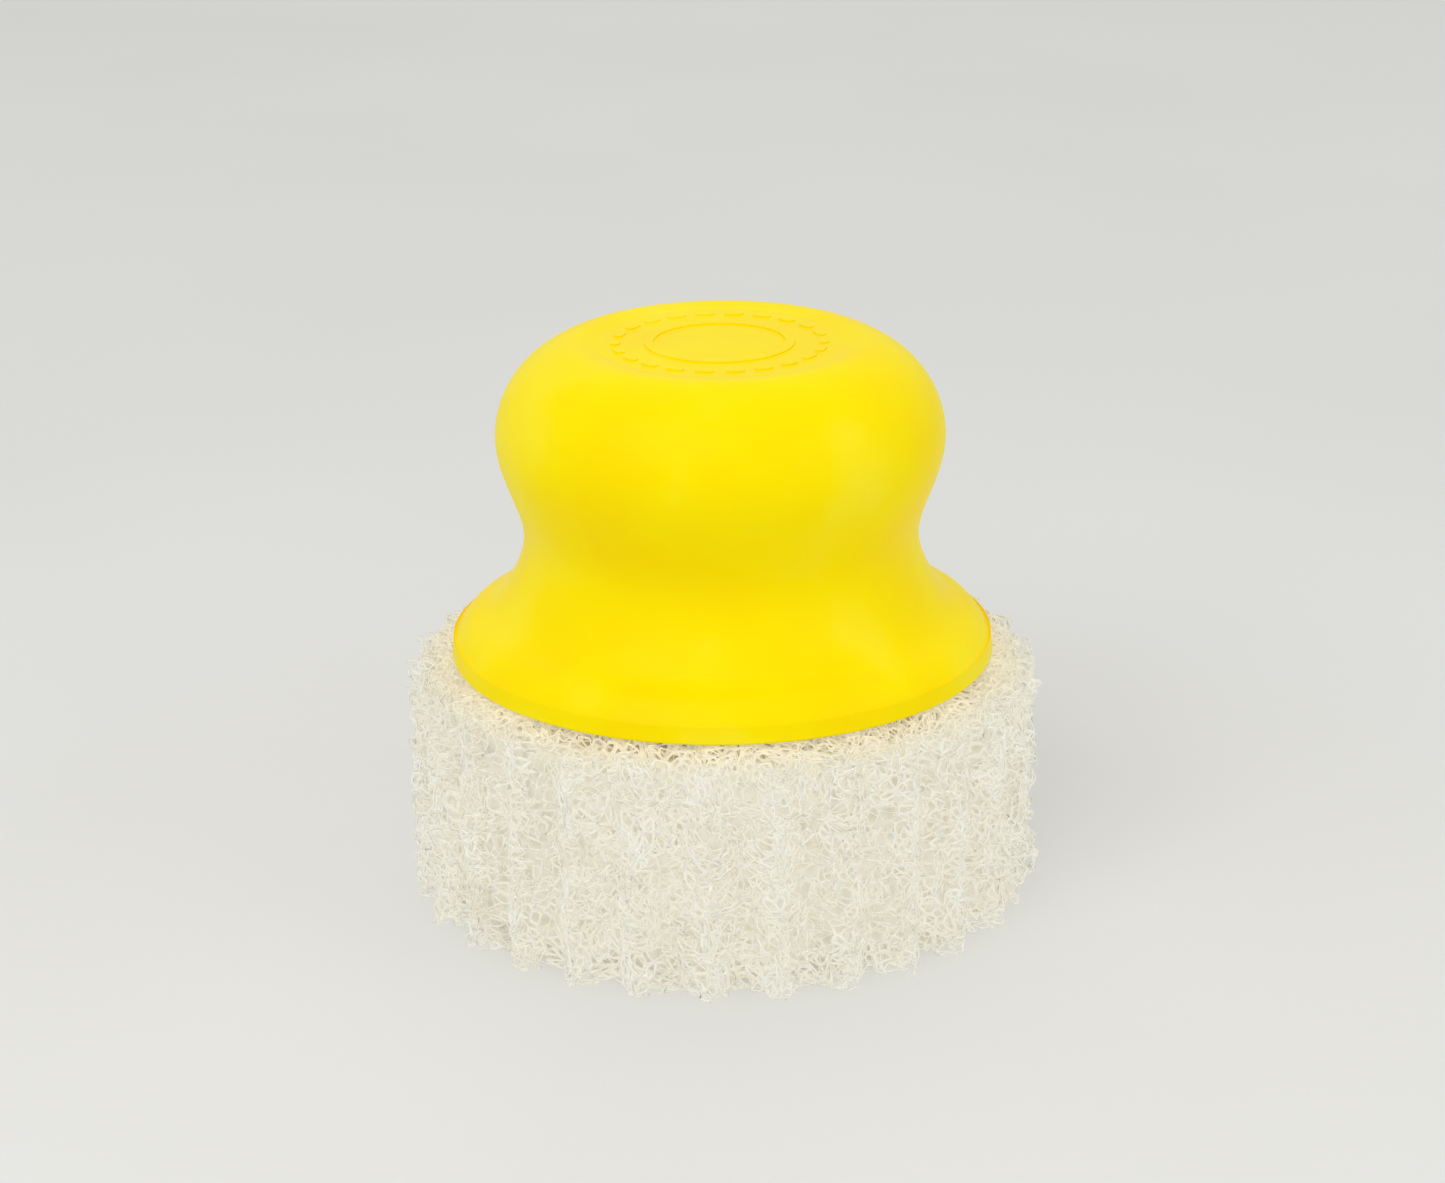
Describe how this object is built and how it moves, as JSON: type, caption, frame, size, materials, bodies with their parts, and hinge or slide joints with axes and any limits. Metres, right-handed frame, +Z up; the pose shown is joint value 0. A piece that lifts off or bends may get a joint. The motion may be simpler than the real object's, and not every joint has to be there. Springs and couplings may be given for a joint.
{
  "type": "palm scrubber with foam pad",
  "caption": "Round palm scrubber: a moulded bulb-and-waist knob with a flared skirt on a thick open-cell foam pad with a zigzag edge, joined by a hook-and-loop disc.",
  "frame": {"origin": "on the knob's axis, at the pad's underside, which rests on the surface", "axes": "+Z up along the knob's axis, from the pad to the top of the knob; +X to the right and +Y to the back, which are alike on this round object"},
  "size_m": [0.1035, 0.1036, 0.0903],
  "materials": {
    "knob_plastic": "satin moulded polypropylene, yellow",
    "plate_plastic": "fine-textured moulded polypropylene, yellow",
    "screw_steel": "zinc-plated",
    "adhesive_film": "cured adhesive film",
    "hook_nylon": "moulded nylon hooks on a thin backing",
    "loop_fabric": "brushed knitted loop pile",
    "pad_foam": "coarse open-cell reticulated foam, off-white and translucent"
  },
  "bodies": {
    "pad": {"scrub_pad": "pad_foam", "pad_adhesive": "adhesive_film", "loop_disc": "loop_fabric"},
    "knob": {"handle_shell": "knob_plastic", "base_plate": "plate_plastic", "base_screw_1": "screw_steel", "base_screw_2": "screw_steel", "base_screw_3": "screw_steel", "base_screw_4": "screw_steel", "hook_adhesive": "adhesive_film", "hook_disc": "hook_nylon"}
  },
  "joints": [
    {"name": "knob_lift", "type": "slide", "parent": "pad", "child": "knob", "axis": [0, 0, 1], "range_m": [0, 0.045]}
  ]
}
